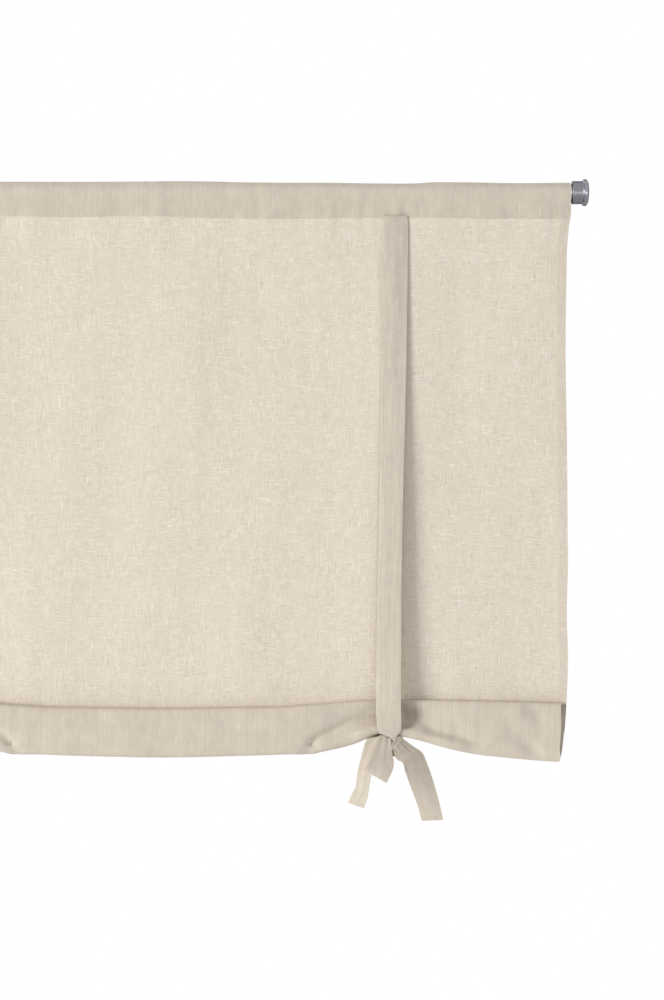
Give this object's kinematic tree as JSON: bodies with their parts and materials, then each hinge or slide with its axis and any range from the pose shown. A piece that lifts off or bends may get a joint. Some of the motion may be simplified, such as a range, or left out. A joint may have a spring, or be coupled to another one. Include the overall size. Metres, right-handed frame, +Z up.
{
  "type": "roll-up blind",
  "caption": "Tie-up linen blind hung from a sewn channel on a spring tension rod, its lower length rolled up and held by cloth ties knotted under the roll.",
  "frame": {"origin": "centre of the right wall pad's face, on the rod's axis", "axes": "+X out of the right wall pad along the rod, -Y the front of the blind, +Z up"},
  "size_m": [0.9824, 0.029, 0.7049],
  "materials": {
    "linen": "open plain weave of slubby natural linen",
    "linen_tie": "same linen, doubled and pressed flat",
    "tube_steel": "satin steel tube",
    "foot_metal": "satin nickel grey",
    "pad_rubber": "soft grey rubber",
    "lock_plastic": "plain moulded plastic",
    "spring_steel": "bright drawn wire and turned steel"
  },
  "bodies": {
    "outer_rod": {"outer_tube": "tube_steel", "guide_collar": "lock_plastic", "right_foot": "foot_metal", "right_pad": "pad_rubber", "linen_panel": "linen", "tie_front_right": "linen_tie", "tie_back_right": "linen_tie", "tie_front_left": "linen_tie", "tie_back_left": "linen_tie"},
    "lock_carriage": {"lock_sleeve": "lock_plastic"},
    "lock_turner": {"lock_screw": "spring_steel", "spring": "spring_steel"},
    "lock_wedge": {"lock_cone": "lock_plastic"},
    "inner_rod": {"inner_tube": "tube_steel", "spring_plunger": "lock_plastic", "left_foot": "foot_metal", "left_pad": "pad_rubber"}
  },
  "joints": [
    {"name": "length_adjust", "type": "slide", "parent": "outer_rod", "child": "lock_carriage", "axis": [-1, 0, 0], "range_m": [-0.01, 0.1]},
    {"name": "twist_lock", "type": "hinge", "parent": "lock_carriage", "child": "lock_turner", "pos_m": [-0.3143, 0, 0], "axis": [1, 0, 0], "range_deg": [0, 360]},
    {"name": "cone_travel", "type": "slide", "parent": "lock_carriage", "child": "lock_wedge", "axis": [1, 0, 0], "range_m": [0, 0.003]},
    {"name": "spring_stroke", "type": "slide", "parent": "lock_turner", "child": "inner_rod", "axis": [1, 0, 0], "range_m": [0, 0.03], "stiffness_N_per_m": 2000, "deforming": ["spring"]}
  ],
  "couplings": [
    {"joint": "cone_travel", "follows": "twist_lock", "m_per_rad": 0.00047746}
  ]
}
